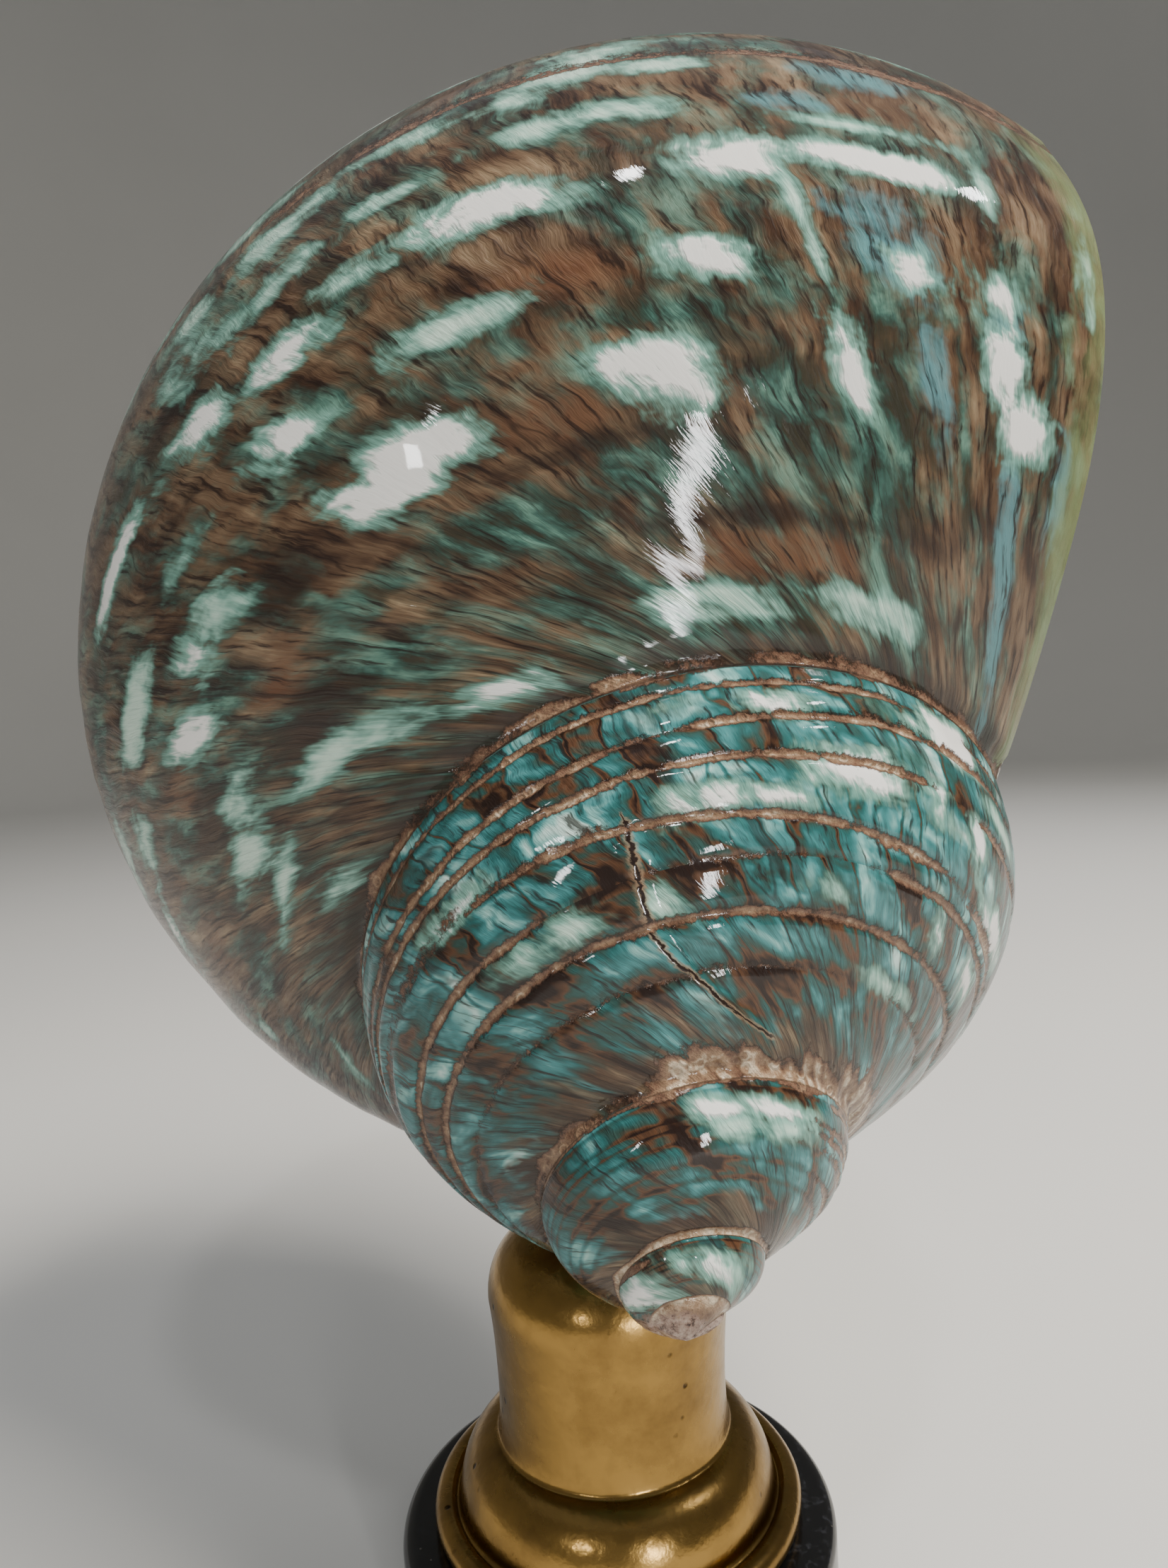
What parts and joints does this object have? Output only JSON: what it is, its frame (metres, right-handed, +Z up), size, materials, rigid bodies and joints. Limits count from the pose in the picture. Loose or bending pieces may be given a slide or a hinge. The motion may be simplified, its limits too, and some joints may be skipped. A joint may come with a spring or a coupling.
{
  "type": "turbo shell on stand",
  "caption": "Large polished turban shell with an open mouth, lying apex forward on a short turned brass stand with a round black plinth.",
  "frame": {"origin": "middle of the plinth's flat underside", "axes": "+Z up through the stand; the apex of the shell points to -Y and the mouth opens to +X"},
  "size_m": [0.1124, 0.1192, 0.1786],
  "materials": {
    "shell": "polished natural shell, brown with green and white patches",
    "brass": "polished, aged",
    "plinth": "polished black"
  },
  "bodies": {
    "root": {"turbo_shell": "shell", "brass_stand": "brass", "black_plinth": "plinth"}
  },
  "joints": []
}
